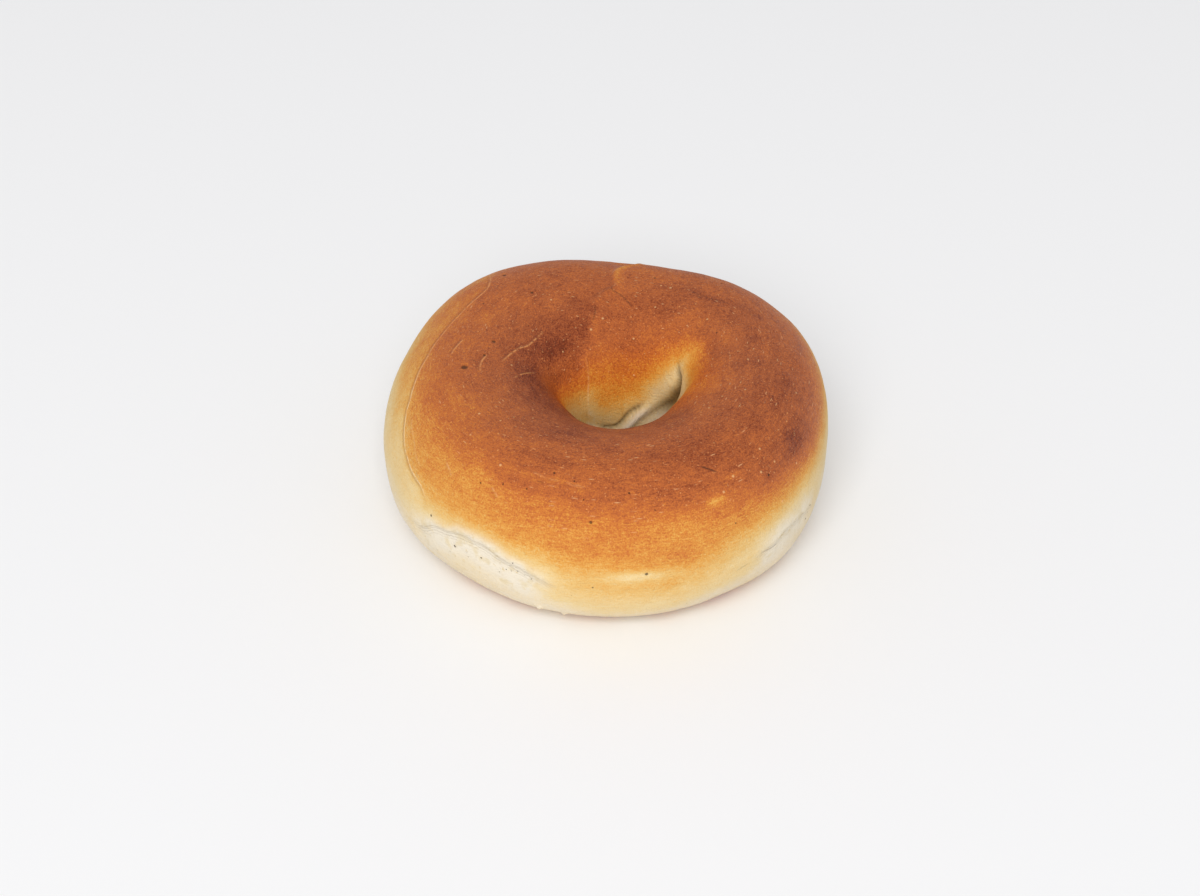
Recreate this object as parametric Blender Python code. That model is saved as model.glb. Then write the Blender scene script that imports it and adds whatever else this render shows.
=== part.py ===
"""A baked bagel: one solid ring of dough, flat where it stood on the baking sheet.

Frame: metres, +Z up, origin at the middle of the base. +X and +Y are the two sides of
the ring, and "turn" is the angle round it, counter-clockwise from +X. "roll" is the
angle round the tube of dough: 0 at the outer side, 90 at the crest, 180 at the hole.
"""
import math

import bmesh
import bpy

MM = 0.001

# Outline seen from above: a circle pulled slightly out of round, as hand-rolled dough is.
OUTER_RADIUS = 56.3 * MM
# For each number of lobes, the cosine and the sine part of its bulge.
OUTLINE_LOBES = {2: (-0.5 * MM, -1.5 * MM), 3: (0.8 * MM, 0.6 * MM),
                 4: (-0.8 * MM, 0.9 * MM), 5: (-0.3 * MM, -0.1 * MM)}

# Height of the crest, and how much higher it is towards +X and +Y.
CREST_HEIGHT = 41.5 * MM
CREST_TILT_X = 1.3 * MM
CREST_TILT_Y = 0.2 * MM

# The hole's narrowest ring, off centre because the rope of dough was thicker on one side.
HOLE_CENTRE_X = 4.5 * MM
HOLE_CENTRE_Y = 2.7 * MM
HOLE_HALF_WIDTH = 13.4 * MM
HOLE_REACH_FRONT = 13.7 * MM
HOLE_REACH_BACK = 9.5 * MM
HOLE_SQUARENESS = 1.7       # 2 is an ellipse, less is more pointed

# The tube's cross-section, as shares of its own width and height.
CREST_SHARE = 0.543         # how far out from the hole the crest lies
OUTER_BULGE_SHARE = 0.42    # height of the widest point, outer side
HOLE_BULGE_SHARE = 0.574    # height of the narrowest point of the hole
HOLE_BULGE_DROP = 0.139     # how much lower that is at the front (-Y)

# Superellipse powers of the four quarters: 2 is round, more is squarer.
TOP_OUTER_POWER = 2.15
TOP_HOLE_POWER = 2.13
TOP_HOLE_POWER_DROP = 0.46  # how much slacker the lip of the hole is at the front
BASE_HOLE_POWER = 2.4
BASE_OUTER_POWER = 2.6

# The soft dough sagged onto the sheet: this much of its round underside was pressed flat.
BASE_PRESSED = 1.0 * MM

STEPS_ROUND_RING = 96
STEPS_ROUND_TUBE = 32

CRUST_COLOUR = (0.40, 0.13, 0.04, 1.0)
CRUST_ROUGHNESS = 0.5


def frontness(turn):
    """1 at the front of the ring (-Y), falling to 0 at its sides and back."""
    return max(-math.sin(turn), 0.0) ** 2


def outer_radius(turn):
    """Distance from the centre to the outermost dough, at this turn."""
    radius = OUTER_RADIUS
    for lobes, (cosine_part, sine_part) in OUTLINE_LOBES.items():
        radius += cosine_part * math.cos(lobes * turn) + sine_part * math.sin(lobes * turn)
    return radius


def hole_radius(turn):
    """Distance from the hole's own centre to its narrowest ring, at this turn."""
    reach = HOLE_REACH_BACK if math.sin(turn) > 0 else HOLE_REACH_FRONT
    across = (abs(math.cos(turn)) / HOLE_HALF_WIDTH) ** HOLE_SQUARENESS
    along = (abs(math.sin(turn)) / reach) ** HOLE_SQUARENESS
    return (across + along) ** (-1 / HOLE_SQUARENESS)


def crest_height(turn):
    """Height of the top of the tube, at this turn."""
    return CREST_HEIGHT + CREST_TILT_X * math.cos(turn) + CREST_TILT_Y * math.sin(turn)


def quarter_power(turn, roll):
    """Superellipse power of the quarter of the cross-section that this roll is in."""
    is_outer = math.cos(roll) >= 0
    is_top = math.sin(roll) >= 0
    if is_top:
        lip_power = TOP_HOLE_POWER - TOP_HOLE_POWER_DROP * frontness(turn)
        return TOP_OUTER_POWER if is_outer else lip_power
    return BASE_OUTER_POWER if is_outer else BASE_HOLE_POWER


def crust_point(turn, roll):
    """A point of the crust: where it lies across the tube, then how high it is."""
    power = 2 / quarter_power(turn, roll)
    across = abs(math.cos(roll)) ** power
    up = abs(math.sin(roll)) ** power

    if math.cos(roll) >= 0:
        share = CREST_SHARE + (1 - CREST_SHARE) * across
        bulge = crest_height(turn) * OUTER_BULGE_SHARE
    else:
        share = CREST_SHARE - CREST_SHARE * across
        bulge = crest_height(turn) * (HOLE_BULGE_SHARE - HOLE_BULGE_DROP * frontness(turn))

    if math.sin(roll) >= 0:
        height = bulge + (crest_height(turn) - bulge) * up
    else:
        height = max(bulge - (bulge + BASE_PRESSED) * up, 0.0)

    outer_x = outer_radius(turn) * math.cos(turn)
    outer_y = outer_radius(turn) * math.sin(turn)
    inner_x = HOLE_CENTRE_X + hole_radius(turn) * math.cos(turn)
    inner_y = HOLE_CENTRE_Y + hole_radius(turn) * math.sin(turn)
    x = inner_x + (outer_x - inner_x) * share
    y = inner_y + (outer_y - inner_y) * share
    return (x, y, height)


def centre_on_origin(shape):
    """Moves the ring so that the middle of its outline is over the origin."""
    for axis in (0, 1):
        places = [vertex.co[axis] for vertex in shape.verts]
        middle = (min(places) + max(places)) / 2
        for vertex in shape.verts:
            vertex.co[axis] -= middle


def make_bagel():
    """The ring of dough: loops round the tube, joined side by side all the way round."""
    shape = bmesh.new()
    loops = []
    for step in range(STEPS_ROUND_RING):
        turn = math.tau * step / STEPS_ROUND_RING
        rolls = [math.tau * k / STEPS_ROUND_TUBE for k in range(STEPS_ROUND_TUBE)]
        loops.append([shape.verts.new(crust_point(turn, roll)) for roll in rolls])
    for step, loop in enumerate(loops):
        next_loop = loops[(step + 1) % STEPS_ROUND_RING]
        for k in range(STEPS_ROUND_TUBE):
            after = (k + 1) % STEPS_ROUND_TUBE
            shape.faces.new((loop[k], next_loop[k], next_loop[after], loop[after]))
    centre_on_origin(shape)
    bmesh.ops.recalc_face_normals(shape, faces=shape.faces)

    mesh = bpy.data.meshes.new("bagel")
    shape.to_mesh(mesh)
    shape.free()
    mesh.shade_smooth()
    bagel = bpy.data.objects.new("bagel", mesh)
    bpy.context.scene.collection.objects.link(bagel)
    return bagel


def make_crust_material():
    """Browned crust, a little satiny."""
    material = bpy.data.materials.new("crust")
    material.use_nodes = True
    shader = material.node_tree.nodes["Principled BSDF"]
    shader.inputs["Base Color"].default_value = CRUST_COLOUR
    shader.inputs["Roughness"].default_value = CRUST_ROUGHNESS
    shader.inputs["Metallic"].default_value = 0.0
    return material


def main():
    for old in list(bpy.data.objects):
        bpy.data.objects.remove(old)
    bagel = make_bagel()
    bagel.data.materials.append(make_crust_material())


main()
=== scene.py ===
"""A plain baked bagel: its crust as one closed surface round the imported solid.

Frame: metres, +Z up, origin under the middle of the ring. "turn" is the angle round the
ring in degrees, counter-clockwise from +X, and "roll" the angle round the tube of dough:
0 at the outer side, 90 at the crest, 180 inside the hole, -90 or 270 under the base.
Lengths in the shape functions are millimetres; place() turns them to metres at the end.
"""
import functools
import math

import bpy
import numpy as np
from mathutils import Matrix, Vector

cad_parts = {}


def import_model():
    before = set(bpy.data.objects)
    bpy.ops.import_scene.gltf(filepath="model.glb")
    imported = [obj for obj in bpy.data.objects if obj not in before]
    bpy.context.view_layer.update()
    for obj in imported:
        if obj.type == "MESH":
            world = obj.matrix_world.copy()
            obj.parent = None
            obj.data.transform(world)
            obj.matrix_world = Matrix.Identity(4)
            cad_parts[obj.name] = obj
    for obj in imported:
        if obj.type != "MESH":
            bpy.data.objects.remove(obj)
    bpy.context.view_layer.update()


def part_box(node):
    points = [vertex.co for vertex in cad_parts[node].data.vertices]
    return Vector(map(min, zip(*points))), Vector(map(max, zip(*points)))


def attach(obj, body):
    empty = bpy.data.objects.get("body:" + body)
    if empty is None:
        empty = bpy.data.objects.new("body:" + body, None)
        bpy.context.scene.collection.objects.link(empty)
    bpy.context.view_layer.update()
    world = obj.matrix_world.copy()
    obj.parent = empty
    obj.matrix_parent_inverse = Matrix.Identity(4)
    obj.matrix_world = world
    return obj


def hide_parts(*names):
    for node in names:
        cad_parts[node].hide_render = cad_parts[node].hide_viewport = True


MM = 0.001

# ---------------------------------------------------------------- the dough's shape (mm)

OUTER_RADIUS = 56.3
OUTLINE_LOBES = {2: (-0.5, -1.5), 3: (0.8, 0.6), 4: (-0.8, 0.9), 5: (-0.3, -0.1)}
CREST_HEIGHT = 41.5
CREST_TILT_X = 1.3
CREST_TILT_Y = 0.2
HOLE_CENTRE = (4.5, 2.7)
HOLE_HALF_WIDTH = 13.4
HOLE_REACH_FRONT = 13.7
HOLE_REACH_BACK = 9.5
HOLE_SQUARENESS = 1.7
CREST_SHARE = 0.543
OUTER_BULGE_SHARE = 0.42
HOLE_BULGE_SHARE = 0.574
HOLE_BULGE_DROP = 0.139
TOP_OUTER_POWER = 2.15
TOP_HOLE_POWER = 2.13
TOP_HOLE_POWER_DROP = 0.46
BASE_HOLE_POWER = 2.4
BASE_OUTER_POWER = 2.52
BASE_PRESSED = 1.0

# Places where the proved dough swelled more (+) or less (-) than the bare ring: turn, roll,
# reach in turn, reach in roll, mm.
SWELLS = ((358, 36, 20, 28, 0.9), (53, 72, 18, 22, 0.6), (133, 58, 16, 24, 0.6),
          (87, 70, 11, 20, -0.4), (220, -4, 14, 14, 0.5),
          (233, -32, 14, 20, -0.7), (303, -32, 10, 18, -0.8),
          (346, 160, 24, 20, -1.6), (186, 158, 24, 20, -1.2), (262, 128, 36, 24, 0.7))

# Random unevenness: size and height in mm.
ROUGH_LAYERS = ((24, 0.40), (10, 0.16), (4.5, 0.06), (2.0, 0.025))

BACK_WALL_LEAN = 3.0             # how far the hole's back wall leans in, low down
VALLEY_DEPTH = 2.6
LEDGE_HEIGHT = 1.5
GROOVE_DEPTH = 0.9
JOIN_LIP = 0.30
JOIN_STEP = 0.40
TEAR_LIP = 0.28
TEAR_DEPTH = 0.50
TEAR_ROUGHNESS = 0.16
BASE_DIMPLES = 0.18
BASE_HOLLOWS = 0.12

# Grid: steps round the ring, and round the tube, where the base gets half the density.
STEPS_ROUND_RING = 520
STEPS_ROUND_TUBE = 190
SIDE_ROLLS = (-65, 245)          # the rolls between which the crust stands clear of the base
BASE_DENSITY = 0.5
CAD_TURN_STEP = 3.75             # degrees between the points of the CAD solid's own grid
CAD_ROLL_STEP = 11.25

# ---------------------------------------------------------------- browning

# How far the oven browned the outer side: at each turn, the rolls where the crust is pale
# gold, orange and brown. Between them it is blended.
OUTER_BAND = (
    (0, 18, 34, 52), (15, 20, 40, 60), (30, 24, 46, 68), (60, 26, 48, 70), (90, 26, 48, 70),
    (105, 20, 42, 64), (120, 18, 42, 66), (150, 24, 50, 84), (180, 24, 52, 88),
    (195, 17, 50, 84), (210, 9, 39, 84), (225, 8, 33, 76), (240, 8, 27, 67), (255, 0, 27, 66),
    (270, -18, 23, 62), (285, -18, 22, 54), (300, -1, 24, 52), (315, 10, 25, 40),
    (330, 11, 25, 36), (345, 11, 28, 42))

# The same in the hole, from the top down: brown, orange and pale gold.
HOLE_BAND = (
    (0, 124, 147, 163), (15, 118, 134, 156), (30, 122, 147, 178), (45, 128, 163, 190),
    (60, 138, 173, 195), (90, 146, 180, 200), (120, 148, 180, 198), (135, 148, 174, 191),
    (150, 148, 172, 184), (180, 146, 172, 186), (210, 155, 174, 192), (240, 160, 176, 190),
    (270, 155, 172, 188), (300, 140, 160, 176), (330, 130, 150, 166))

# Places browned more (+) or less (-) than their band: turn, roll, reach in turn, reach in
# roll, amount.
PATCHES = (
    (180, 130, 24, 11, 0.14), (148, 136, 17, 9, 0.13), (215, 125, 24, 13, 0.08),
    (329, 44, 8, 7, 0.16), (262, 54, 30, 16, 0.025), (350, 62, 16, 12, 0.06),
    (18, 121, 9, 5, 0.10), (312, 37, 9, 6, 0.05), (288, 14, 6, 5, 0.07),
    (298, 41, 3.2, 2.4, -0.24), (304, 52, 2.2, 1.6, -0.22), (289, 30, 9, 7, -0.06),
    (277, 4.8, 8.5, 3.4, -0.21), (285, 35, 10, 8, -0.03), (2, 119, 9, 8, 0.10),
    (325, 116, 22, 14, -0.09), (292, 96, 26, 10, -0.07), (225, 50, 20, 6, -0.03),
    (251, 62, 10, 2.0, -0.10), (262, 57, 6, 2, -0.07), (239, 45, 6, 3, -0.06),
    (224, 43, 6, 4, -0.06), (129, 62, 4.5, 8, -0.13), (203, 62, 14, 10, 0.04),
    (262, 22, 20, 5, 0.03), (270, 10, 40, 20, 0.03), (176, 156, 26, 10, 0.08),
    (140, 194, 22, 14, 0.07), (330, 146, 24, 14, -0.14), (170, 50, 24, 16, -0.03),
    (333, 42, 14, 14, 0.11), (0, 64, 16, 10, 0.04), (231, 16, 14, 12, 0.05),
    (105, 140, 8, 7, 0.10), (330, 120, 8, 8, -0.06), (300, 94, 8, 9, -0.06),
    (146, 137, 15, 8, 0.06), (195, 56, 12, 10, -0.03), (20, 196, 34, 16, -0.06),
    (271, 62, 9, 24, 0.045), (300, 62, 6, 9, 0.05))

# Soft bands round the ring, darker (+) or paler (-): amount, half width in mm, route.
BANDS = (
    (0.08, 1.5, ((60, 93), (53.5, 95), (46, 97), (39, 95.5), (32, 92), (25.5, 87), (20, 83.5),
                 (10.5, 81), (1, 79.5), (-7, 78), (-16, 80))),
    (0.06, 0.8, ((47, 74), (38, 76), (29, 74), (20, 70), (10, 68))),
    (0.05, 1.2, ((226, 82), (238, 77), (250, 74), (262, 74), (274, 78), (286, 84))),
    (0.05, 1.0, ((236, 56), (246, 55), (256, 53), (266, 53), (276, 56))))

STREAK_LENGTH = 6                # times its width, of a mark drawn out along the ring

# Mottling of the crust: size in mm and amount of browning.
MOTTLE_LAYERS = ((15, 0.035), (6, 0.030), (2.4, 0.022))
UNDERSIDE = 0.44                 # browning where the dough lay on the hot sheet

# Where the side burst in the oven: how strongly it shows, how far above and below its torn
# edge (mm) the raw pale dough reaches, and the edge's route.
TEARS = (
    (1.0, 1.7, 9.0, ((213, -3), (215, -1), (219, 0.5), (223, 6), (227.5, 8), (230.5, 10), (234, 10.5),
                     (237.5, 10.5), (241, 9), (243.5, 7), (247, 4.5), (251.5, 1.5), (254, 0),
                     (256.5, -2), (259, -4))),
    (0.85, 3.4, 6.0, ((306, -4), (309.5, -1.5), (312.5, -1.5), (314.5, -1), (316, 0), (318, 0.5),
                      (320.5, 0.8), (323.5, 0.5), (326, 0), (330, -2), (333, -4))))

# ---------------------------------------------------------------- lines on the crust

# Thin lips left where the skin of the dough stretched: strength, then route.
# Each lip's upper edge is painted lighter, a painted highlight, and the crust just below it darker,
# painted shade.
LIGHT_LINES = (
    (0.8, ((125, 50), (128, 62), (131, 70), (135, 75.5), (139, 77), (145, 76), (153, 74),
           (162, 70.5), (170, 66), (175, 64), (180, 59.5), (184, 56), (188, 52),
           (190.5, 49.5), (194.5, 43), (198.5, 37.5), (202.5, 32.5), (206.5, 29), (210, 26),
           (213, 24.5), (216, 23), (218, 20), (220, 17))),
    (0.2, ((198, 47), (200, 44.5), (205.5, 40), (209, 35.5), (214, 31.5))),
    (0.9, ((167.5, 86), (171, 84), (177.5, 81))),
    (0.9, ((176.5, 101), (182, 98), (186, 97), (189.5, 96.5))),
    (0.9, ((143.5, 121.5), (153, 121.5), (161.5, 120.5), (166.5, 117), (174.5, 113),
           (182, 109))),
    (0.75, ((182.5, 132), (188.5, 122.5), (194.5, 115))),
    (0.3, ((130, 149), (134, 157), (137, 164), (140.5, 171.5), (143.5, 180), (144, 188),
           (140, 196))),
    (0.35, ((247, 64), (250, 62.5), (252.5, 61.5), (256, 61.5))),
    (0.35, ((257.5, 61.5), (260, 59.5), (264, 59))),
    (0.4, ((237.5, 46.5), (239, 44.5), (240.5, 41.5))),
    (0.35, ((220.5, 46.5), (223, 43.5), (224.5, 41))))

# Creases and one thread-like scorch mark, darker than the crust round them: strength, then route. The
# creases' darkness is painted shade; the scorch mark is the crust's own colour.
DARK_LINES = (
    (1.0, ((296.5, 64.5), (298, 61.8), (300.6, 57.3))),
    (0.55, ((90, 100), (91, 105), (87, 108.5), (82, 114.5), (79.5, 118.5))),
    (0.55, ((103.5, 117), (104.5, 122), (109, 129))),
    (0.45, ((249.5, 59), (252, 58.5))),
    (0.5, ((314.8, -3), (312.5, -3.2), (309.5, -2))),
    (0.3, ((305.5, -4), (303.5, -5), (302, -5.5))),
    (0.4, ((298.5, 103.5), (295.5, 101))),
    (0.35, ((52, 95.5), (46, 97), (39, 95.5), (32, 92))))

# The join of the rope of dough: an uneven pale edge down the back into the hole.
JOIN = ((79, 60), (80, 70), (86.5, 84.5), (89.5, 96), (91, 101.5), (97, 108), (103, 113),
        (104, 120), (109, 130), (112.5, 135), (115, 144), (123, 148), (131, 151),
        (138.5, 160), (141.5, 170), (143.5, 178), (146, 185), (142, 192), (137, 200))

# The valley in the hole: where the overlapping end meets the right side of the ring, then
# under the fold.
HOLE_VALLEY = ((24, 145), (20, 151), (16, 156.5), (13, 160.5), (10.5, 167), (9.5, 174),
               (13.5, 181), (22.5, 186), (32.5, 191), (46, 197), (59, 202), (73.5, 208))

# The fold low in the hole: the tucked-under end of the rope, a rounded ledge under a groove.
HOLE_LEDGE = ((25, 181), (40, 187), (50, 191.5), (60, 195), (70, 199), (80, 203), (90, 207),
              (100, 209), (112, 208.5), (125, 205), (140, 200))
HOLE_GROOVE = ((50, 187), (62, 190.5), (71.5, 193), (80.5, 196), (88.5, 200), (97.5, 203),
               (106.5, 204), (117, 202.5), (131.5, 198))

# Open pores and scorched specks: turn, roll, half their width in mm. Each spot's dimple or
# dome is so many times its half width deep or high.
PIT_RELIEF, BLISTER_RELIEF, CRUMB_RELIEF = -0.45, 0.12, 1.1
# Each pit is painted dark: painted shade in the open pores, and the own colour of the scorched
# specks.
PITS = (
    (185.5, 89.5, 1.0), (126, 72, 0.62), (166.5, 102, 0.55), (177.5, 99.5, 0.42), (222, 11.5, 0.36),
    (279.5, 5.8, 0.46), (266, 38, 0.42), (315, 40, 0.40), (230.3, 1.5, 0.24),
    (240.5, 51, 0.24), (267, -1, 0.24), (253.5, 66.5, 0.30), (247.5, 52.5, 0.22),
    (260, 63, 0.26), (275.5, 56, 0.28), (263.5, 51.5, 0.20), (234, 46.5, 0.24),
    (225.5, 120.5, 0.34), (230.5, 1, 0.36), (238.5, 1.5, 0.24), (247.5, 6, 0.20),
    (248.5, 0.5, 0.18), (245.5, 0, 0.17), (252, -1.5, 0.18), (302, 24, 0.22),
    (330, -0.5, 0.32), (329, -8.5, 0.28), (70.5, 90, 0.32), (45, 77, 0.32),
    (127, 96.5, 0.45), (144, 84, 0.24), (17, 114, 0.24), (282, 44, 0.18))

# Small pale blisters: turn, roll, half their width in mm.
BLISTERS = ((61, 97.3, 0.42), (66, 96.5, 0.30), (30, 111.5, 0.34), (319.3, 120.5, 0.34),
            (313.5, 103, 0.34), (351.5, 97.5, 0.32), (359, 94.5, 0.28), (331.5, 92, 0.30),
            (101, 127.5, 0.40), (113, 134, 0.42), (123, 106, 0.36), (75.5, 143, 0.34),
            (64, 116, 0.32), (183, 115.5, 0.36), (237, 61.5, 0.42), (215, 84, 0.40),
            (224, 88.5, 0.32), (221, 69.5, 0.30), (226, 96, 0.28), (316, 57, 0.36),
            (313, 44.5, 0.42), (317, 20.5, 0.42), (326, 32.5, 0.36), (318.5, 44.5, 0.36),
            (300.5, 44.5, 0.40), (304.5, 51, 0.45), (343.5, 58.5, 0.30), (71, 172, 0.34),
            (339.5, 124.5, 0.36), (231.5, 104, 0.28), (146.5, 140, 0.32), (323, 102.5, 0.26))

# Two crumbs stuck at the lower edge: turn, roll, half their width in mm.
CRUMBS = ((253, -31, 0.75), (259, -38, 0.6))

# ---------------------------------------------------------------- camera and light

CAMERA_LENS = 70.0               # mm
CAMERA_DISTANCE = 0.5726
CAMERA_DOWN = 38.01              # degrees below level
CAMERA_ROLL = -0.47
AIM_FROM_CENTRE = (-0.00155, -0.0086, -0.0014)
SENSOR_WIDTH = 36.0              # mm

ROOM_BRIGHTNESS = 0.60
SOFTBOX_PLACE = (-0.30, -2.12, 1.95)
SOFTBOX_SIZE = 1.8
SOFTBOX_POWER = 61.0
FLOOR_REACH = 3.0                # half the card's width
FLOOR_GAP = 0.0001               # keeps the card from touching the flat base


# ---------------------------------------------------------------- small maths

def climb(value, low, high):
    """0 below low, 1 above high, and a smooth S between: 3s^2 - 2s^3."""
    s = np.clip((value - low) / (high - low), 0, 1)
    return s * s * (3 - 2 * s)


def hump(value, reach):
    """1 at zero, falling off as a bell: exp(-(value/reach)^2)."""
    return np.exp(-(value / reach) ** 2)


def turn_gap(turn, other):
    """The signed angle from other to turn, the short way round the ring."""
    return (turn - other + 180) % 360 - 180


def round_the_ring(rows, turn):
    """Each column of rows after the first, blended between the turns in the first."""
    table = np.array(rows, float)
    return [np.interp(turn, table[:, 0], column, period=360) for column in table[:, 1:].T]


def dough_noise(points, size, seed):
    """Smooth random value from -1 to 1: random numbers on a lattice of cells `size` wide,
    blended between each point's eight nearest corners."""
    lattice = np.random.default_rng(seed).uniform(-1, 1, (32, 32, 32))
    cells = points / size + 500.0
    corner = np.floor(cells).astype(int)
    blend = cells - corner
    blend = blend * blend * (3 - 2 * blend)
    value = 0
    for dx in (0, 1):
        for dy in (0, 1):
            for dz in (0, 1):
                at = (corner + (dx, dy, dz)) % 32
                share = np.prod(np.where((dx, dy, dz), blend, 1 - blend), axis=-1)
                value = value + share * lattice[at[..., 0], at[..., 1], at[..., 2]]
    return value


def layered_noise(points, layers, first_seed):
    """Noise of each size in the list times its amount, added up."""
    return sum(amount * dough_noise(points, size, seed)
               for seed, (size, amount) in enumerate(layers, first_seed))


def smooth_path(knots, steps_each=6):
    """A Catmull-Rom curve through the knots: each stretch is a cubic that leaves and
    arrives along the line between the neighbouring knots."""
    knots = np.array(knots, float)
    ends = (2 * knots[0] - knots[1], 2 * knots[-1] - knots[-2])
    padded = np.vstack([ends[0], knots, ends[1]])
    place = np.linspace(0, len(knots) - 1, (len(knots) - 1) * steps_each + 1)
    first = np.minimum(place.astype(int), len(knots) - 2)
    f = (place - first)[:, None]
    a, b, c, d = (padded[first + k] for k in range(4))
    return 0.5 * (2 * b + (c - a) * f + (2 * a - 5 * b + 4 * c - d) * f ** 2
                  + (3 * b - a - 3 * c + d) * f ** 3)


# ---------------------------------------------------------------- the dough's surface

def frontness(turn):
    """1 at the front of the ring, 0 at its sides and back; turn in radians."""
    return np.maximum(-np.sin(turn), 0) ** 2


def dough_surface(turn, roll):
    """The bare ring: at each turn a section of four superellipse quarters, reaching from
    the hole's narrowest ring to the outline and from the flat base to the crest."""
    turn, roll = np.radians(turn), np.radians(roll)
    front = frontness(turn)
    outline = OUTER_RADIUS
    for lobes, (cosine_part, sine_part) in OUTLINE_LOBES.items():
        outline = outline + cosine_part * np.cos(lobes * turn) + sine_part * np.sin(lobes * turn)
    reach = np.where(np.sin(turn) > 0, HOLE_REACH_BACK, HOLE_REACH_FRONT)
    hole = ((np.abs(np.cos(turn)) / HOLE_HALF_WIDTH) ** HOLE_SQUARENESS
            + (np.abs(np.sin(turn)) / reach) ** HOLE_SQUARENESS) ** (-1 / HOLE_SQUARENESS)
    crest = CREST_HEIGHT + CREST_TILT_X * np.cos(turn) + CREST_TILT_Y * np.sin(turn)

    outer = np.cos(roll) >= 0
    top = np.sin(roll) >= 0
    lip_power = TOP_HOLE_POWER - TOP_HOLE_POWER_DROP * front
    power = 2 / np.where(top, np.where(outer, TOP_OUTER_POWER, lip_power),
                         np.where(outer, BASE_OUTER_POWER, BASE_HOLE_POWER))
    across = np.abs(np.cos(roll)) ** power
    up = np.abs(np.sin(roll)) ** power
    share = np.where(outer, CREST_SHARE + (1 - CREST_SHARE) * across,
                     CREST_SHARE * (1 - across))
    bulge = crest * np.where(outer, OUTER_BULGE_SHARE, HOLE_BULGE_SHARE - HOLE_BULGE_DROP * front)
    height = np.where(top, bulge + (crest - bulge) * up,
                      np.maximum(bulge - (bulge + BASE_PRESSED) * up, 0))

    inner_x = HOLE_CENTRE[0] + hole * np.cos(turn)
    inner_y = HOLE_CENTRE[1] + hole * np.sin(turn)
    x = inner_x + (outline * np.cos(turn) - inner_x) * share
    y = inner_y + (outline * np.sin(turn) - inner_y) * share
    return np.stack([x, y, height], axis=-1)


def outward(points):
    """Unit normals of a closed grid: the step round the ring crossed with the one round the
    tube."""
    round_ring = np.roll(points, -1, 0) - np.roll(points, 1, 0)
    round_tube = np.roll(points, -1, 1) - np.roll(points, 1, 1)
    normal = np.cross(round_ring, round_tube)
    length = np.linalg.norm(normal, axis=-1, keepdims=True)
    return normal / np.maximum(length, 1e-9)


def tube_rolls():
    """Rolls of the grid's rows: even steps where the crust shows, wider ones underneath."""
    low, high = SIDE_ROLLS
    shown = high - low
    weight = shown + (360 - shown) * BASE_DENSITY
    place = np.arange(STEPS_ROUND_TUBE) / STEPS_ROUND_TUBE * weight
    return np.where(place < shown, low + place, high + (place - shown) / BASE_DENSITY)


class Crust:
    """The grid that every feature reads: turn, roll, points, normals and measured lines."""

    def __init__(self):
        self.lines = {}
        turns = np.arange(STEPS_ROUND_RING) * 360 / STEPS_ROUND_RING
        rolls = tube_rolls()
        self.turn, roll = np.meshgrid(turns, rolls, indexing="ij")
        self.points = dough_surface(self.turn, roll)
        self.normals = outward(self.points)
        self.roll = np.where(roll > 270, roll - 360, roll)

    def line(self, knots):
        """Signed distance in mm from a line drawn through (turn, roll) knots, and how far
        along it from 0 to 1. Each line is measured once."""
        if knots not in self.lines:
            self.lines[knots] = self.measure(knots)
        return self.lines[knots]

    def measure(self, knots):
        """The nearest of the line's short straight stretches counts, and its side is the
        sign of (stretch x gap) . normal."""
        route = smooth_path(knots)
        path = dough_surface(route[:, 0], route[:, 1])
        best = np.full(self.turn.shape, np.inf)
        signed = np.zeros(self.turn.shape)
        along = np.zeros(self.turn.shape)
        for k in range(len(path) - 1):
            start, step = path[k], path[k + 1] - path[k]
            offset = self.points - start
            share = np.clip(offset @ step / (step @ step), 0, 1)
            gap = offset - share[..., None] * step
            distance = np.linalg.norm(gap, axis=-1)
            side = np.sum(np.cross(np.broadcast_to(step, gap.shape), gap) * self.normals, -1)
            nearer = distance < best
            best = np.where(nearer, distance, best)
            signed = np.where(nearer, np.where(side < 0, -distance, distance), signed)
            along = np.where(nearer, (k + share) / (len(path) - 1), along)
        return signed, along


def taper(along, ends=0.12):
    """0 at both ends of a line and 1 between."""
    return climb(along, 0, ends) * climb(1 - along, 0, ends)


def join_line(crust):
    """Distance from the join, made to wander by up to a millimetre, and place along it."""
    distance, along = crust.line(JOIN)
    return distance + 1.0 * dough_noise(crust.points, 3.5, 11), along


def placed(crust, bumps):
    """The sum of bells, each `amount` high at its turn and roll."""
    total = 0
    for turn, roll, turn_reach, roll_reach, amount in bumps:
        bell = hump(turn_gap(crust.turn, turn), turn_reach) * hump(crust.roll - roll, roll_reach)
        total = total + amount * bell
    return total


# ---------------------------------------------------------------- relief (mm, outwards)

def risen_dough(crust):
    """The loose unevenness of proved dough: random, with the placed swells as bells in turn
    and in roll."""
    relief = layered_noise(crust.points, ROUGH_LAYERS, 1)
    return relief + placed(crust, SWELLS)


def join_relief(crust):
    """A low uneven lip along the join, the crust a little lower on its far side."""
    distance, along = join_line(crust)
    crest_part = 1 - climb(along, 0.2, 0.45)
    lip = JOIN_LIP * hump(distance - 0.5, 1.0) * (0.25 + 0.75 * crest_part)
    step = JOIN_STEP * hump(distance, 8) * np.tanh(distance / 0.8) * (0.35 + 0.65 * crest_part)
    return (lip + step) * taper(along, 0.06)


def hole_valley_relief(crust):
    """A sharp valley with rounded sides, deepest where it turns under the fold."""
    distance, along = crust.line(HOLE_VALLEY)
    depth = VALLEY_DEPTH * climb(along, 0, 0.4) * (1 - climb(along, 0.6, 1))
    return -depth * np.exp(-np.abs(distance) / (0.7 + 0.8 * along))


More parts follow.
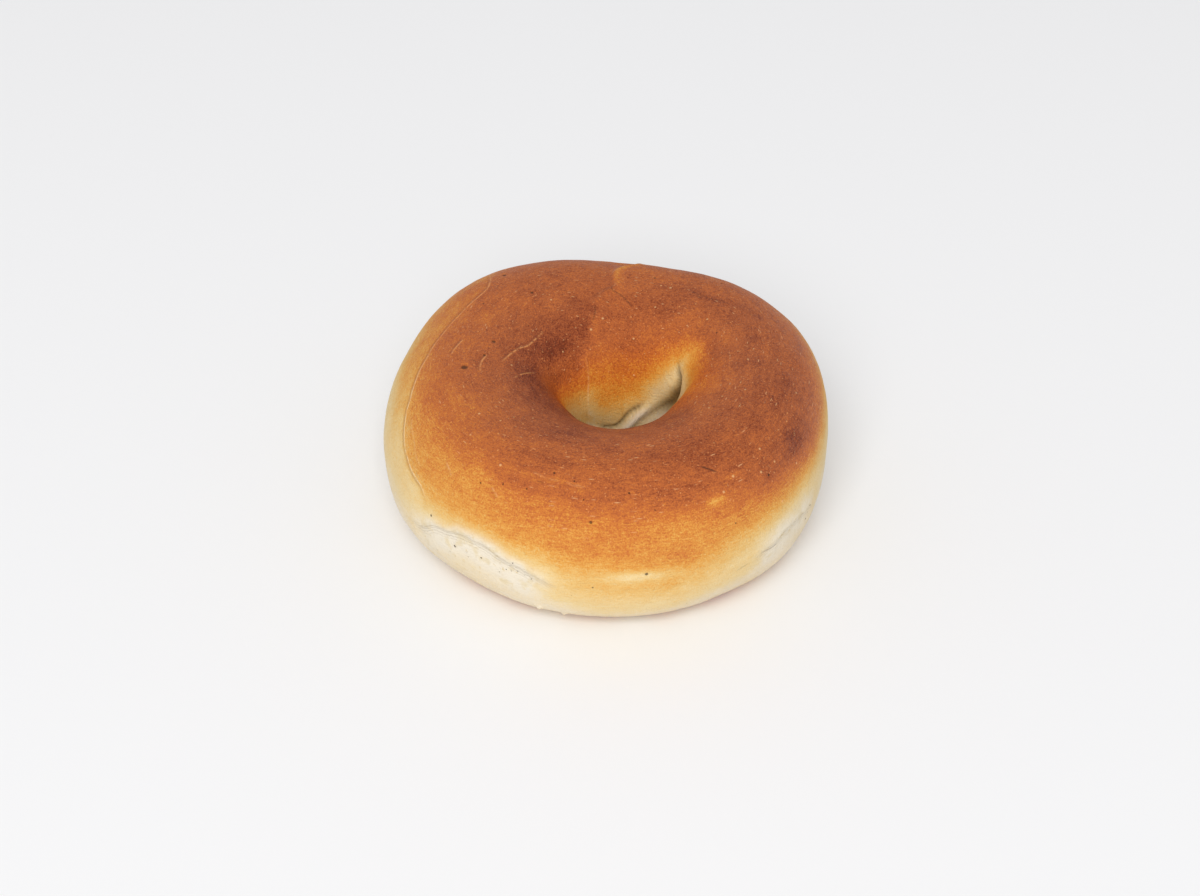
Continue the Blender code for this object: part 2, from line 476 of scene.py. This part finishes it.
def hole_fold_relief(crust):
    """A rounded ledge with a sharp groove above it."""
    distance, along = crust.line(HOLE_LEDGE)
    shown = climb(along, 0.0, 0.3) * (1 - climb(along, 0.85, 1))
    ledge = LEDGE_HEIGHT * hump(distance, 1.0) * shown
    distance, along = crust.line(HOLE_GROOVE)
    groove = GROOVE_DEPTH * hump(distance, 0.5) * taper(along, 0.25)
    return ledge - groove


def back_wall_relief(crust):
    """The hole's back wall leans in towards the base, most in the middle of the back."""
    in_back = hump(turn_gap(crust.turn, 95), 62)
    lean = climb(crust.roll, 166, 212) * (1 - climb(crust.roll, 224, 256))
    return BACK_WALL_LEAN * lean * in_back


def tear_relief(crust):
    """A thin raised lip, then a step down to the raw dough, which climbs back gently."""
    relief = 0
    for strength, _above, _below, edge in TEARS:
        distance, along = crust.line(edge)
        distance = distance + 0.5 * dough_noise(crust.points, 2.2, 22)
        lip = TEAR_LIP * hump(distance - 0.8, 1.1)
        sunk = TEAR_DEPTH * climb(-distance, -0.3, 0.5) * np.exp(-np.abs(distance) / 4.5)
        rough = TEAR_ROUGHNESS * dough_noise(crust.points, 1.6, 23)
        torn = rough * hump(distance + 2.5, 3.0)
        relief = relief + strength * (lip - sunk + torn) * taper(along, 0.15)
    return relief


def spot_relief(crust):
    """Dimples at the larger pores, low domes at the blisters and crumbs: bells as wide as
    the spot."""
    relief = 0
    for spots, height in ((PITS, PIT_RELIEF), (BLISTERS, BLISTER_RELIEF),
                          (CRUMBS, CRUMB_RELIEF)):
        for turn, roll, half_width in spots:
            distance = np.linalg.norm(crust.points - dough_surface(turn, roll), axis=-1)
            relief = relief + height * half_width * hump(distance, half_width)
    return relief


def base_relief(crust):
    """Small dimples over the flat underside, where the dough lay on a coarse sheet."""
    p = crust.points
    dimples = BASE_DIMPLES * climb(dough_noise(p, 2.6, 31), 0.1, 0.7)
    hollows = BASE_HOLLOWS * climb(dough_noise(p, 7, 32), 0, 0.8)
    return -(dimples + hollows) * (1 - climb(p[..., 2], 0.0, 0.6))


def crust_relief(crust):
    """All the relief added up, in mm along the outward normal; it fades out above the base,
    which has its own."""
    features = (risen_dough, join_relief, hole_valley_relief, hole_fold_relief,
                back_wall_relief, tear_relief, spot_relief)
    relief = sum(feature(crust) for feature in features)
    return relief * climb(crust.points[..., 2], 0.0, 3.0) + base_relief(crust)


# ---------------------------------------------------------------- browning per vertex

def banded(crust):
    """Browning by the band tables: the sum of smooth steps up the outer side, and 0.80 less
    such steps down into the hole; the lower of the two counts."""
    roll = crust.roll
    pale, orange, brown = round_the_ring(OUTER_BAND, crust.turn)
    outer = (0.02 + 0.13 * climb(roll, pale - 28, pale + 4)
             + 0.30 * climb(roll, pale - 2, orange + 5)
             + 0.25 * climb(roll, orange - 4, brown + 4) + 0.10 * climb(roll, brown, brown + 35))
    brown, orange, pale = round_the_ring(HOLE_BAND, crust.turn)
    hole = (0.80 - 0.10 * climb(roll, brown - 25, brown)
            - 0.25 * climb(roll, brown - 4, orange + 4)
            - 0.30 * climb(roll, orange - 4, pale + 3) - 0.09 * climb(roll, pale, pale + 22))
    return np.minimum(outer, hole)


def join_browning(crust):
    """Change of browning at the join: its lip is paler, over the crest and then in pieces,
    and so is the crust on its upper side."""
    distance, along = join_line(crust)
    crest_part = 1 - climb(along, 0.15, 0.25)
    broken = climb(dough_noise(crust.points, 2.2, 13), -0.2, 0.5) * climb(along, 0.3, 0.4)
    edge = 0.17 * crest_part * hump(distance - 1.0, 1.1)
    edge = edge + 0.10 * broken * hump(distance - 0.7, 0.8)
    edge = edge + 0.045 * np.tanh(distance / 1.0) * hump(distance, 7)
    return -edge * taper(along, 0.03)


def line_browning_and_painted_light(crust):
    """Change of browning at the bands, the folds in the hole, below the long lip and just above the
    tears. In the hole part of it is painted light: the ledge paler as a painted highlight, the hollow
    under the fold darker as painted shade."""
    change = 0
    for amount, half_width, route in BANDS:
        distance, along = crust.line(route)
        change = change + amount * hump(distance, half_width) * taper(along, 0.2)
    # Painted highlight: the ledge's crest is made paler where the light falls on it.
    distance, along = crust.line(HOLE_LEDGE)
    change = change - 0.16 * hump(distance, 1.4) * climb(along, 0.05, 0.3)
    # Painted shade: the hollow under the fold is made darker.
    distance, along = crust.line(HOLE_VALLEY)
    shown = climb(along, 0.25, 0.5) * (1 - climb(along, 0.55, 0.8))
    change = change + 0.20 * hump(distance, 1.9) * shown
    distance, along = crust.line(LIGHT_LINES[0][1])
    below = climb(-distance, -0.4, 0.8) * (1 - climb(-distance, 2.0, 6.0))
    change = change - 0.07 * below * taper(along)
    for strength, _above, _below, edge in TEARS:
        distance, along = crust.line(edge)
        change = change - 0.06 * strength * hump(distance - 2.4, 3.0) * taper(along, 0.15)
    return change


def browning(crust):
    """From 0, pale dough, to 1, dark brown: the bands and patches with the lines' changes,
    then the evenly browned base, then mottling, strongest where the crust is brown."""
    level = banded(crust) + placed(crust, PATCHES)
    level = level + join_browning(crust) + line_browning_and_painted_light(crust)
    p = crust.points
    under = 1 - climb(p[..., 2] + 1.0 * dough_noise(p, 7, 44), 0.2, 3.4)
    level = level * (1 - under) + (UNDERSIDE + 0.08 * dough_noise(p, 9, 45)) * under
    mottle = layered_noise(p, MOTTLE_LAYERS, 41)
    return np.clip(level + mottle * (0.6 + level), 0, 1)


def raw_dough(crust):
    """1 on the raw dough: just above a torn edge, and some way below it."""
    raw = 0
    for strength, above_reach, below_reach, edge in TEARS:
        distance, along = crust.line(edge)
        distance = distance + 1.0 * dough_noise(crust.points, 4, 21)
        above = hump(np.maximum(distance, 0), above_reach)
        below = 1 - climb(-distance, below_reach * 0.45, below_reach * 1.3)
        raw = np.maximum(raw, strength * np.minimum(above, below) * taper(along, 0.22))
    return raw


def painted_fold_shade(crust):
    """1 in the bottoms of the hole's folds, along the valley and the groove over the ledge: painted
    shade, laid on as a dark colour.
    """
    distance, along = crust.line(HOLE_VALLEY)
    width = 0.60 + 1.0 * climb(along, 0.30, 0.5)
    crease = hump(distance, width) * climb(along, 0.02, 0.3) * (1 - climb(along, 0.6, 0.9))
    distance, along = crust.line(HOLE_GROOVE)
    return np.maximum(crease, 0.75 * hump(distance, 0.45) * taper(along, 0.15))


def painted_bounce_light(crust):
    """Up to 1 round the hole, between brown and pale gold: painted bounce light, the brighter, more
    orange colour of light bounced round inside the hole; most in front, less at the back."""
    brown, orange, pale = round_the_ring(HOLE_BAND, crust.turn)
    in_front = climb(-np.sin(np.radians(crust.turn)), -0.3, 0.5)
    shown = climb(crust.roll, brown - 8 - 24 * in_front, orange - 8 * in_front)
    shown = shown * (1 - climb(crust.roll, pale - 16, pale + 4)) * (0.45 + 0.55 * in_front)
    return np.where(crust.roll > 90, shown, 0)


def nearest_spot(crust, spots):
    """The vector from the nearest spot, measured in the spot's own half widths."""
    best = np.full(crust.turn.shape, np.inf)
    offset = np.zeros(crust.points.shape)
    for turn, roll, half_width in spots:
        gap = crust.points - dough_surface(turn, roll)
        distance = np.linalg.norm(gap, axis=-1)
        nearer = distance < best
        best = np.where(nearer, distance, best)
        offset = np.where(nearer[..., None], gap / half_width, offset)
    return offset


def marks(crust, lines, full=0.8, gone=1.6):
    """Signed distance to the nearest of several lines, and how strongly it shows: fully
    within `full` mm of the line, not at all beyond `gone`."""
    distance = np.full(crust.turn.shape, 9.0)
    strength = np.zeros(crust.turn.shape)
    for power, knots in lines:
        signed, along = crust.line(knots)
        nearer = np.abs(signed) < np.abs(distance)
        distance = np.where(nearer, signed, distance)
        shows = power * taper(along) * (1 - climb(np.abs(signed), full, gone))
        strength = np.where(nearer, shows, strength)
    return distance, strength


def tear_lines(crust):
    """Signed distance from the nearest torn edge, and how strongly its wrinkles show."""
    edges = [(strength, edge) for strength, _above, _below, edge in TEARS]
    return marks(crust, edges, 1.6, 3.6)


def flow(crust):
    """Coordinates in mm that run slower along the ring than across the tube, so a pattern on
    them comes out as streaks along the ring."""
    turn = np.radians(crust.turn)
    radius = OUTER_RADIUS / STREAK_LENGTH
    step = np.linalg.norm(np.roll(crust.points, -1, 1) - crust.points, axis=-1)
    across = np.cumsum(step, axis=1)
    return np.stack([np.cos(turn) * radius, np.sin(turn) * radius, across], -1)


# ---------------------------------------------------------------- mesh

def grid_faces(rings, rows):
    """Quads of a grid that closes on itself both ways, facing outwards."""
    ring, row = np.meshgrid(np.arange(rings), np.arange(rows), indexing="ij")
    next_ring, next_row = (ring + 1) % rings, (row + 1) % rows
    corners = (ring * rows + row, next_ring * rows + row,
               next_ring * rows + next_row, ring * rows + next_row)
    return np.stack([c.ravel() for c in corners], axis=1)


def place(points, box):
    """Millimetres to metres, with the base at z = 0 and the outline over the CAD solid's."""
    low, high = (np.array(corner) for corner in box)
    turns, rolls = np.arange(0, 360, CAD_TURN_STEP), np.arange(0, 360, CAD_ROLL_STEP)
    bare = dough_surface(*np.meshgrid(turns, rolls, indexing="ij")).reshape(-1, 3) * MM
    shift = (low + high) / 2 - (bare.min(0) + bare.max(0)) / 2
    moved = points.reshape(-1, 3) * MM + (shift[0], shift[1], 0)
    moved[:, 2] = np.maximum(moved[:, 2], 0) + low[2]
    return moved


def add_values(mesh, name, values):
    """A number, or three, for each vertex."""
    values = np.asarray(values, np.float32)
    is_vector = values.ndim == 3
    layer = mesh.attributes.new(name, "FLOAT_VECTOR" if is_vector else "FLOAT", "POINT")
    layer.data.foreach_set("vector" if is_vector else "value", values.ravel())


def add_bake_map(mesh, rings, rows):
    """The unrolled crust as a map: round the ring across, round the tube up."""
    ring, row = np.meshgrid(np.arange(rings), np.arange(rows), indexing="ij")
    corners = [(ring, row), (ring + 1, row), (ring + 1, row + 1), (ring, row + 1)]
    places = [np.stack([a / rings, b / rows], -1).reshape(-1, 2) for a, b in corners]
    layer = mesh.uv_layers.new(name="OFBake")
    layer.data.foreach_set("uv", np.stack(places, 1).astype(np.float32).ravel())


def make_bagel(box):
    """The crust: the bare ring moved along its normals by its relief."""
    crust = Crust()
    points = crust.points + crust.normals * crust_relief(crust)[..., None]
    mesh = bpy.data.meshes.new("bagel_crust")
    faces = grid_faces(STEPS_ROUND_RING, STEPS_ROUND_TUBE)
    mesh.from_pydata(place(points, box), [], faces)
    add_bake_map(mesh, STEPS_ROUND_RING, STEPS_ROUND_TUBE)
    for feature in (browning, raw_dough, painted_fold_shade, painted_bounce_light, flow):
        add_values(mesh, feature.__name__, feature(crust))
    add_values(mesh, "pit_offset", nearest_spot(crust, PITS))
    add_values(mesh, "blister_offset", nearest_spot(crust, BLISTERS))
    for name, (distance, strength) in (("light_line", marks(crust, LIGHT_LINES)),
                                       ("dark_line", marks(crust, DARK_LINES)),
                                       ("tear_line", tear_lines(crust))):
        add_values(mesh, name, distance)
        add_values(mesh, name + "_strength", strength)
    mesh.shade_smooth()
    bagel = bpy.data.objects.new("bagel_crust", mesh)
    bpy.context.scene.collection.objects.link(bagel)
    return bagel


# ---------------------------------------------------------------- materials

def srgb(text):
    """A hex colour as linear red, green, blue and alpha."""
    parts = [int(text[k:k + 2], 16) / 255 for k in (1, 3, 5)]
    linear = [c / 12.92 if c <= 0.04045 else ((c + 0.055) / 1.055) ** 2.4 for c in parts]
    return (*linear, 1.0)


def add_node(tree, kind, inputs=None, output=0, **settings):
    """Adds one shader node, with its settings and each input given a value or a link, and
    returns one of its outputs."""
    made = tree.nodes.new("ShaderNode" + kind)
    for name, value in settings.items():
        setattr(made, name, value)
    for socket, value in (inputs or {}).items():
        if isinstance(value, bpy.types.NodeSocket):
            tree.links.new(value, made.inputs[socket])
        else:
            made.inputs[socket].default_value = value
    return made.outputs[output]


def new_material(name):
    """An empty material: itself, its node tree and its shader."""
    material = bpy.data.materials.new(name)
    material.use_nodes = True
    tree = material.node_tree
    return material, tree, tree.nodes["Principled BSDF"]


# Settings that many nodes share: a smooth step, a product, and a mix of two colours, from
# input 6 to input 7 by the share in input 0.
SMOOTHLY = {"interpolation_type": "SMOOTHSTEP"}
TIMES = {"operation": "MULTIPLY"}
COLOURS = {"output": 2, "data_type": "RGBA"}

CRUST_COLOURS = (                # browning, colour of the baked skin
    (0.00, "#E9DBC2"), (0.12, "#E5CB95"), (0.24, "#DFB56C"), (0.36, "#DA9C46"),
    (0.47, "#CF8435"), (0.58, "#C26D2C"), (0.70, "#B25E2B"), (0.80, "#9E5126"),
    (0.90, "#883E1A"), (1.00, "#6A2908"))

PAINTED_BOUNCE_COLOURS = (                # the same, brighter and more orange: painted bounce light round the hole
    (0.00, "#E9D9BC"), (0.12, "#E9C98A"), (0.24, "#E8B25C"), (0.36, "#E4972F"),
    (0.47, "#DB7C1C"), (0.58, "#C96316"), (0.70, "#AC4C10"), (0.80, "#8E3C0C"),
    (0.90, "#7A300A"), (1.00, "#642506"))

# Grain of the skin: size in mm, detail, and whether it is drawn out along the ring. A real
# skin's finest grain is under 0.1 mm; it starts at 0.34 mm here so that it still shows.
GRAINS = {"finest": (0.34, 1, False), "fine": (0.62, 2, False), "speckle": (1.1, 2, False),
          "mottle": (3.2, 3, False), "streak": (0.36, 2, True), "band": (2.6, 2, True)}

# Small round marks, one in some cells of a scattered grid: the cells' size and the mark's
# radius in mm, the share of cells that have one, whether it is drawn out along the ring to
# a stroke, and the pattern that it keeps to. Boiled dough blisters 0.3 to 0.6 mm across.
SPECKS = {"blisters": (2.0, 0.30, 0.45, False, "brown_skin"),
          # The glints and the drawn-out strokes are painted highlights: small light specks and
          # streaks where the glossy skin would catch the light.
          "painted_glints": (0.80, 0.21, 0.60, False, "painted_glint_clusters"),
          "painted_glint_streaks": (0.9, 0.19, 0.50, True, "painted_glint_clusters"),
          # The pores are painted shade: dark dots for open pores, with no dimple of their own.
          "pores": (2.9, 0.22, 0.40, False, None),
          # The holes in the raw dough are painted darker over a shallow dip: painted shade.
          "holes": (1.5, 0.22, 0.30, False, "raw_dough")}

# Marks along the measured lines: which lines, mm from them to the upper side, half width.
# The lip and shade marks are the painted highlight on each lip's upper edge and the painted shade
# just below it.
STROKES_ON_LINES = {"lip": ("light_line", 0.15, 0.42), "lip_painted_shade": ("light_line", -0.40, 0.55),
                    # The crease mark is painted shade along the creases; along the scorch mark it is
                    # the crust's own colour.
                    "crease": ("dark_line", 0.0, 0.36), "torn_edge": ("tear_line", 0.0, 0.34),
                    "wrinkles": ("tear_line", -0.9, 2.2)}

# How much each pattern varies the browning, the marks laid over the colour in turn (pattern,
# strength, colour), and the height of each pattern in mm.
UNEVENNESS = {"finest": 0.46, "fine": 0.22, "speckle": 0.12, "mottle": 0.14, "streak": 0.34,
              "band": 0.18}
SKIN_MARKS = (("blisters", 0.45, "#E9A566"), ("painted_glints", 0.58, "#E39A60"),
              ("painted_glint_streaks", 0.66, "#EBAE78"), ("pores", 0.40, "#5A2A14"))
# The tears' grey wrinkles and darker torn edge are painted shade in their small folds and under the
# torn lip.
TEAR_MARKS = (("wrinkles", 0.38, "#BFAF96"), ("torn_edge", 0.34, "#AE9878"))
# Painted shade: below each lip, in the creases, in the open pores and in the hole's folds; the domes
# are the blisters' own paler colour, and the scorch mark its own.
LINE_MARKS = (("lip_painted_shade", 0.32, "#7A3A18"), ("crease", 0.80, "#4E2813"),
              ("dome", 0.60, "#EDB97F"), ("pit", 0.78, "#43280F"), ("painted_fold_shade", 0.80, "#40260C"))
HEIGHTS = {"finest": 0.14, "fine": 0.16, "speckle": 0.12, "streak": 0.16, "blisters": 0.05,
           "painted_glint_streaks": 0.08, "dome": 0.08, "lip": 0.18, "wrinkles": -0.07, "crease": -0.12,
           "pit": -0.25, "holes": -0.12}


# In the functions of the crust's finish, `add` is add_node for the crust's own tree, and
# `patterns` holds the outputs that crust_patterns() made, by name.

def weighted_sum(add, patterns, weights, start=0.0):
    """The named patterns added up, each times its weight."""
    total = start
    for name, weight in weights.items():
        total = add("Math", {0: patterns[name], 1: weight, 2: total}, operation="MULTIPLY_ADD")
    return total


def grain(add, at, size, detail, along):
    """Soft random grain from -0.5 to 0.5; drawn-out grain is also made to wander."""
    cloud = add("TexNoise", {"Vector": at, "Scale": 1 / size, "Detail": detail,
                             "Roughness": 0.55, "Distortion": 0.8 if along else 0.0})
    return add("Math", {0: cloud, 1: 0.5}, operation="SUBTRACT")


def specks(add, at, cell, radius, share):
    """Round dots: near each cell's point, where the cell's random number is below share."""
    distance = add("TexVoronoi", {"Vector": at, "Scale": 1 / cell}, "Distance")
    lot = add("SeparateColor", {"Color": distance.node.outputs["Color"]})
    reach = radius / cell
    dot = add("MapRange", {"Value": distance, "From Min": reach, "From Max": reach * 0.4},
              **SMOOTHLY)
    drawn = add("Math", {0: lot, 1: share}, operation="LESS_THAN")
    return add("Math", {0: dot, 1: drawn}, **TIMES)


def spot(add, name):
    """1 in the middle of a placed spot, 0 beyond its half width."""
    offset = add("Attribute", output="Vector", attribute_name=name)
    length = add("VectorMath", {0: offset}, "Value", operation="LENGTH")
    return add("MapRange", {"Value": length, "From Min": 1.0, "From Max": 0.45}, **SMOOTHLY)


def near_line(add, name, middle, reach):
    """1 along a measured line, `middle` mm to its upper side, gone `reach` mm away."""
    distance = add("Attribute", output="Fac", attribute_name=name)
    strength = add("Attribute", output="Fac", attribute_name=name + "_strength")
    past = add("Math", {0: distance, 1: middle}, operation="SUBTRACT")
    gap = add("Math", {0: past}, operation="ABSOLUTE")
    shown = add("MapRange", {"Value": gap, "From Min": reach, "From Max": 0.0}, **SMOOTHLY)
    return add("Math", {0: shown, 1: strength}, **TIMES)


def crust_patterns(add):
    """Every pattern that the crust's colour, dullness and height read, by name."""
    found = {}
    for name in ("browning", "raw_dough", "painted_fold_shade", "painted_bounce_light", "tear_line"):
        found[name] = add("Attribute", output="Fac", attribute_name=name)
    place_on = add("TexCoord", output="Object")
    flow_at = add("Attribute", output="Vector", attribute_name="flow")
    for name, (size, detail, along) in GRAINS.items():
        at, unit = (flow_at, 1) if along else (place_on, MM)
        found[name] = grain(add, at, size * unit, detail, along)

    found["brown_skin"] = add("MapRange", {"Value": found["browning"], "From Min": 0.35,
                                           "From Max": 0.62}, **SMOOTHLY)
    # Where the painted glints gather: patches of the mottle on the brown skin.
    gathered = add("MapRange", {"Value": found["mottle"], "From Min": -0.14,
                                "From Max": 0.10}, **SMOOTHLY)
    found["painted_glint_clusters"] = add("Math", {0: gathered, 1: found["brown_skin"]}, **TIMES)
    for name, (cell, radius, share, along, keeps_to) in SPECKS.items():
        at, unit = (flow_at, 1) if along else (place_on, MM)
        found[name] = specks(add, at, cell * unit, radius * unit, share)
        if keeps_to:
            found[name] = add("Math", {0: found[name], 1: found[keeps_to]}, **TIMES)

    for name, (lines, middle, reach) in STROKES_ON_LINES.items():
        found[name] = near_line(add, lines, middle, reach)
    broken = add("MapRange", {"Value": found["speckle"], "From Min": -0.22, "From Max": 0.06},
                 **SMOOTHLY)
    found["lip"] = add("Math", {0: found["lip"], 1: broken}, **TIMES)
    ripples = torn_ripples(add, found)
    found["wrinkles"] = add("Math", {0: found["wrinkles"], 1: ripples}, **TIMES)
    found["dome"] = spot(add, "blister_offset")
    found["pit"] = spot(add, "pit_offset")
    return found


def torn_ripples(add, patterns):
    """Fine ridges along a tear, 0.7 mm apart: a sine of the distance from its edge, which the
    speckle makes uneven, with only the upper part of each wave kept."""
    phase = weighted_sum(add, patterns, {"tear_line": 9.0, "speckle": 6.0})
    wave = add("Math", {0: phase}, operation="SINE")
    return add("MapRange", {"Value": wave, "From Min": 0.45, "From Max": 1.0}, **SMOOTHLY)


def lay_over(add, below, cover, strength, above):
    """The upper colour over the lower one, as thick as the cover times the strength."""
    share = add("Math", {0: cover, 1: strength}, **TIMES)
    return add("Mix", {0: share, 6: below, 7: above}, **COLOURS)


def lay_marks(add, patterns, colour, marked):
    """Each of the listed marks laid over the colour in turn."""
    for name, strength, text in marked:
        colour = lay_over(add, colour, patterns[name], strength, srgb(text))
    return colour


def colour_at(add, level, colours):
    """The colour at each browning, blended between the nearest two of the list."""
    result = add("ValToRGB", {"Fac": level}, "Color")
    stops = result.node.color_ramp.elements
    while len(stops) < len(colours):
        stops.new(0.5)
    for stop, (position, text) in zip(stops, colours):
        stop.position = position
        stop.color = srgb(text)
    return result


def raw_dough_colour(add, patterns):
    """Torn dough: chalky, with warmer blotches, yellower speckles and small open holes painted darker
    as painted shade.
    """
    blotches = add("MapRange", {"Value": patterns["mottle"], "From Min": 0.0,
                                "From Max": 0.16}, **SMOOTHLY)
    speckles = add("MapRange", {"Value": patterns["speckle"], "From Min": 0.10,
                                "From Max": 0.28}, **SMOOTHLY)
    colour = add("Mix", {0: blotches, 6: srgb("#E6DCC9"), 7: srgb("#DFD0B1")}, **COLOURS)
    colour = add("Mix", {0: speckles, 6: colour, 7: srgb("#D8C59E")}, **COLOURS)
    return lay_over(add, colour, patterns["holes"], 0.55, srgb("#A8946C"))


def crust_colour(add, patterns):
    """The baked skin's colour at its browning, made uneven most where it is brown, with its marks,
    the raw dough of the tears, and the drawn lips, creases and spots over it. Painted light is part
    of it: painted bounce light round the hole, painted glints, a painted highlight on each lip, and
    painted shade below the lips, in the creases, pores, tears and the hole's folds."""
    share_shown = add("MapRange", {"Value": patterns["browning"], "From Min": 0.10,
                                   "From Max": 0.60, "To Min": 0.25}, **SMOOTHLY)
    uneven = weighted_sum(add, patterns, UNEVENNESS)
    level = add("Math", {0: uneven, 1: share_shown, 2: patterns["browning"]},
                operation="MULTIPLY_ADD")
    # Round the hole the colour blends towards the brighter, more orange list: painted bounce light.
    colour = add("Mix", {0: patterns["painted_bounce_light"], 6: colour_at(add, level, CRUST_COLOURS),
                         7: colour_at(add, level, PAINTED_BOUNCE_COLOURS)}, **COLOURS)
    colour = lay_marks(add, patterns, colour, SKIN_MARKS)
    colour = lay_over(add, colour, patterns["raw_dough"], 0.95, raw_dough_colour(add, patterns))
    # Over the tears, the painted shade of their wrinkles and torn edge.
    colour = lay_marks(add, patterns, colour, TEAR_MARKS)
    # A painted highlight along each lip's upper edge, paler on pale skin.
    lip_highlight_colour = add("Mix", {0: patterns["brown_skin"], 6: srgb("#F4D8A8"),
                             7: srgb("#E59C5E")}, **COLOURS)
    colour = lay_over(add, colour, patterns["lip"], 0.80, lip_highlight_colour)
    return lay_marks(add, patterns, colour, LINE_MARKS)


def crust_material():
    """Baked bagel crust, boiled then browned: satin where the boiled skin browned, duller where it
    stayed pale, with fine grain, tiny blisters and open pores. Its colour also carries painted light:
    painted bounce light round the hole, painted glints and highlights, and painted shade."""
    material, tree, shader = new_material("boiled_and_baked_crust")
    add = functools.partial(add_node, tree)
    patterns = crust_patterns(add)
    dullness = weighted_sum(add, patterns, {"browning": -0.22, "speckle": 0.25}, 0.68)
    height = weighted_sum(add, patterns, HEIGHTS)
    normal = add("Bump", {"Height": height, "Distance": MM, "Strength": 1.0}, "Normal")

    tree.links.new(crust_colour(add, patterns), shader.inputs["Base Color"])
    tree.links.new(dullness, shader.inputs["Roughness"])
    tree.links.new(normal, shader.inputs["Normal"])
    shader.inputs["Specular IOR Level"].default_value = 0.35
    return material


def floor_material():
    """Matt white studio card: an even, pale ground."""
    material, _tree, shader = new_material("matt_white_card")
    shader.inputs["Base Color"].default_value = srgb("#F2F2F2")
    shader.inputs["Roughness"].default_value = 0.9
    return material


# ---------------------------------------------------------------- studio

def make_floor(low):
    """A wide plain card just under the bagel."""
    mesh = bpy.data.meshes.new("floor")
    z = low.z - FLOOR_GAP
    corners = [(x * FLOOR_REACH, y * FLOOR_REACH, z)
               for x, y in ((-1, -1), (1, -1), (1, 1), (-1, 1))]
    mesh.from_pydata(corners, [], [(0, 1, 2, 3)])
    mesh.materials.append(floor_material())
    floor = bpy.data.objects.new("floor", mesh)
    bpy.context.scene.collection.objects.link(floor)


def make_camera(centre):
    """The view from the front, looking down."""
    data = bpy.data.cameras.new("camera")
    data.lens = CAMERA_LENS
    data.sensor_width = SENSOR_WIDTH
    camera = bpy.data.objects.new("camera", data)
    bpy.context.scene.collection.objects.link(camera)
    aim = centre + Vector(AIM_FROM_CENTRE)
    tilt = Matrix.Rotation(math.radians(90 - CAMERA_DOWN), 4, "X")
    lean = Matrix.Rotation(math.radians(CAMERA_ROLL), 4, "Z")
    back = Matrix.Translation((0, 0, CAMERA_DISTANCE))
    camera.matrix_world = Matrix.Translation(aim) @ tilt @ lean @ back
    bpy.context.scene.camera = camera


def make_softbox(aim):
    """A large square soft light in front and above, that leaves no highlight."""
    data = bpy.data.lights.new("softbox", "AREA")
    data.size = SOFTBOX_SIZE
    data.energy = SOFTBOX_POWER
    light = bpy.data.objects.new("softbox", data)
    light.location = SOFTBOX_PLACE
    away = Vector(aim) - Vector(SOFTBOX_PLACE)
    light.rotation_euler = away.to_track_quat("-Z", "Y").to_euler()
    light.visible_glossy = False
    bpy.context.scene.collection.objects.link(light)


def make_room():
    """A bright white room all round."""
    world = bpy.data.worlds.new("white_room")
    bpy.context.scene.world = world
    world.use_nodes = True
    background = world.node_tree.nodes["Background"]
    background.inputs["Color"].default_value = srgb("#FBFBFD")
    background.inputs["Strength"].default_value = ROOM_BRIGHTNESS


def main():
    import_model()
    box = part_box("bagel")
    low, high = box
    centre = (low + high) / 2

    bagel = make_bagel(box)
    bagel.data.materials.append(crust_material())
    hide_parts("bagel")
    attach(bagel, "root")

    make_floor(low)
    make_room()
    make_softbox(centre)
    make_camera(centre)
    bpy.context.scene.view_settings.view_transform = "Standard"


main()
